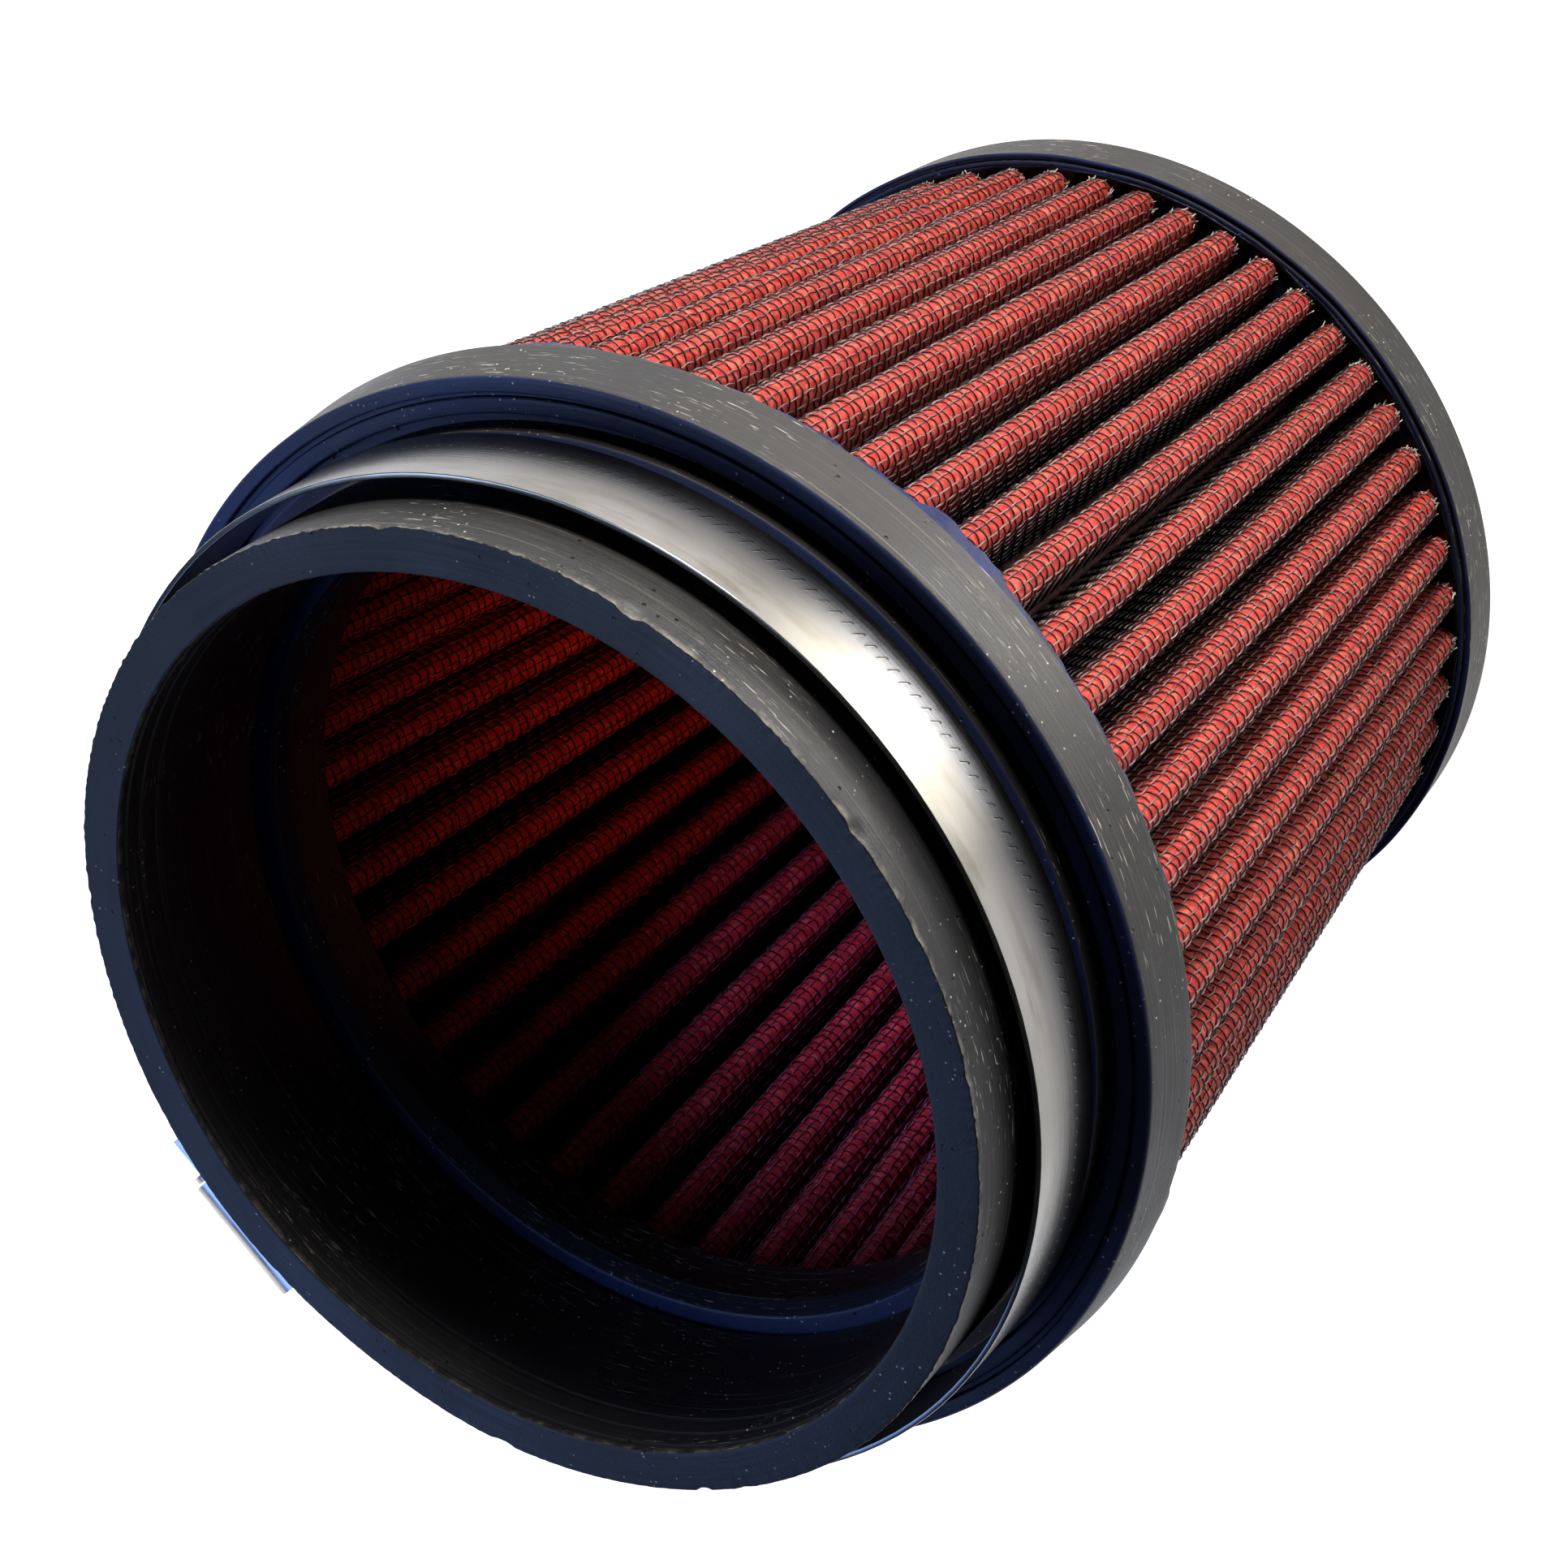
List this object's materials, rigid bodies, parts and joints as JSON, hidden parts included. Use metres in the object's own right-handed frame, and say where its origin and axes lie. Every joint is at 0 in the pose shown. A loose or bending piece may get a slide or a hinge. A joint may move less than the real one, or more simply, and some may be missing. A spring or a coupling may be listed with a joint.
{
  "type": "air filter",
  "caption": "Clamp-on conical air filter: moulded rubber neck and flange, red pleated cotton gauze between wire screens, rubber end cap, and a loose worm-drive clamp.",
  "frame": {"origin": "centre of the neck's rim plane, at the mouth of the bore", "axes": "+Z out of the neck along the bore; -Y is the side opposite the clamp's screw; the filter stands on its end cap"},
  "size_m": [0.1288, 0.1354, 0.136],
  "materials": {
    "neck_rubber": "moulded black rubber, scuffed grey at the rims",
    "cap_rubber": "moulded black rubber, satin",
    "sealant": "poured black potting compound, semi-gloss",
    "outer_wire": "epoxy-coated woven wire, light tan and grey",
    "inner_wire": "epoxy-coated woven wire, dark",
    "red_gauze": "oiled red cotton gauze",
    "seam_metal": "dull crimped strip",
    "band_steel": "rolled stainless strip, lightly brushed",
    "housing_steel": "pressed stainless steel",
    "screw_steel": "zinc-plated steel screw"
  },
  "bodies": {
    "filter": {"neck_flange": "neck_rubber", "flange_sealant": "sealant", "outer_screen": "outer_wire", "gauze_ply_1": "red_gauze", "gauze_ply_2": "red_gauze", "gauze_ply_3": "red_gauze", "gauze_ply_4": "red_gauze", "inner_screen": "inner_wire", "seam_strip": "seam_metal", "cap_sealant": "sealant", "end_cap": "cap_rubber"},
    "clamp": {"clamp_band": "band_steel", "clamp_housing": "housing_steel", "clamp_saddle": "housing_steel"},
    "screw": {"clamp_screw": "screw_steel"}
  },
  "joints": [
    {"name": "clamp_turn", "type": "hinge", "parent": "filter", "child": "clamp", "pos_m": [0, 0, -0.0128], "axis": [0, 0, 1], "continuous": true},
    {"name": "screw_turn", "type": "hinge", "parent": "clamp", "child": "screw", "pos_m": [0.00057, 0.065, -0.0128], "axis": [1, -0.0087, 0], "continuous": true}
  ]
}
